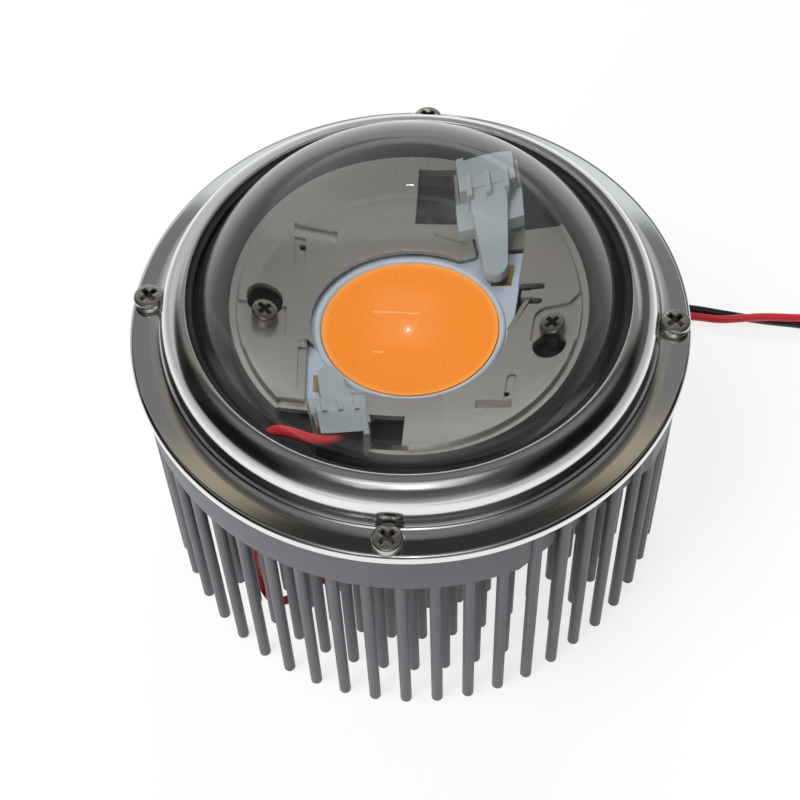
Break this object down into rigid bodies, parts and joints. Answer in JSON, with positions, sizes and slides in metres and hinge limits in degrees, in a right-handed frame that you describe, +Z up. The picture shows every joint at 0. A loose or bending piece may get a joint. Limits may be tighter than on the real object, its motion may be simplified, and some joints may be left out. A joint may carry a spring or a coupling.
{
  "type": "cob led lamp head",
  "caption": "Round chip-on-board LED lamp head: pin-fin heat sink, LED chip in a stamped holder, domed glass lens in a silicone gasket, polished screwed bezel and two loose leads.",
  "frame": {"origin": "on the lamp's axis, in the plane of the pin tips it stands on", "axes": "+Z up along the lamp's axis towards the lens, X and Y through the bezel screws"},
  "size_m": [0.181, 0.1202, 0.106],
  "materials": {
    "heat_sink": "dark grey anodised",
    "thermal_pad": "matte",
    "chip_substrate": "glazed ceramic",
    "chip_dam": "translucent silicone",
    "chip_phosphor": "smooth silicone",
    "contact_metal": "plated",
    "holder_frame": "satin nickel",
    "screws": "bright plated",
    "terminal": "white moulded",
    "lens": "polished",
    "lens_gasket": "matte silicone",
    "bezel_ring": "mirror polished",
    "positive_lead": "smooth insulation",
    "negative_lead": "smooth insulation",
    "lead_tip": "tinned"
  },
  "bodies": {
    "root": {"heat_sink": "heat_sink", "thermal_pad": "thermal_pad", "chip_substrate": "chip_substrate", "chip_dam": "chip_dam", "chip_phosphor": "chip_phosphor", "chip_contact_pads": "contact_metal", "holder_frame": "holder_frame", "holder_screws": "screws", "positive_terminal": "terminal", "negative_terminal": "terminal", "positive_contact": "contact_metal", "negative_contact": "contact_metal", "lens": "lens", "lens_gasket": "lens_gasket", "bezel_ring": "bezel_ring", "bezel_screws": "screws", "positive_lead": "positive_lead", "negative_lead": "negative_lead", "positive_lead_tip": "lead_tip", "negative_lead_tip": "lead_tip"}
  },
  "joints": []
}
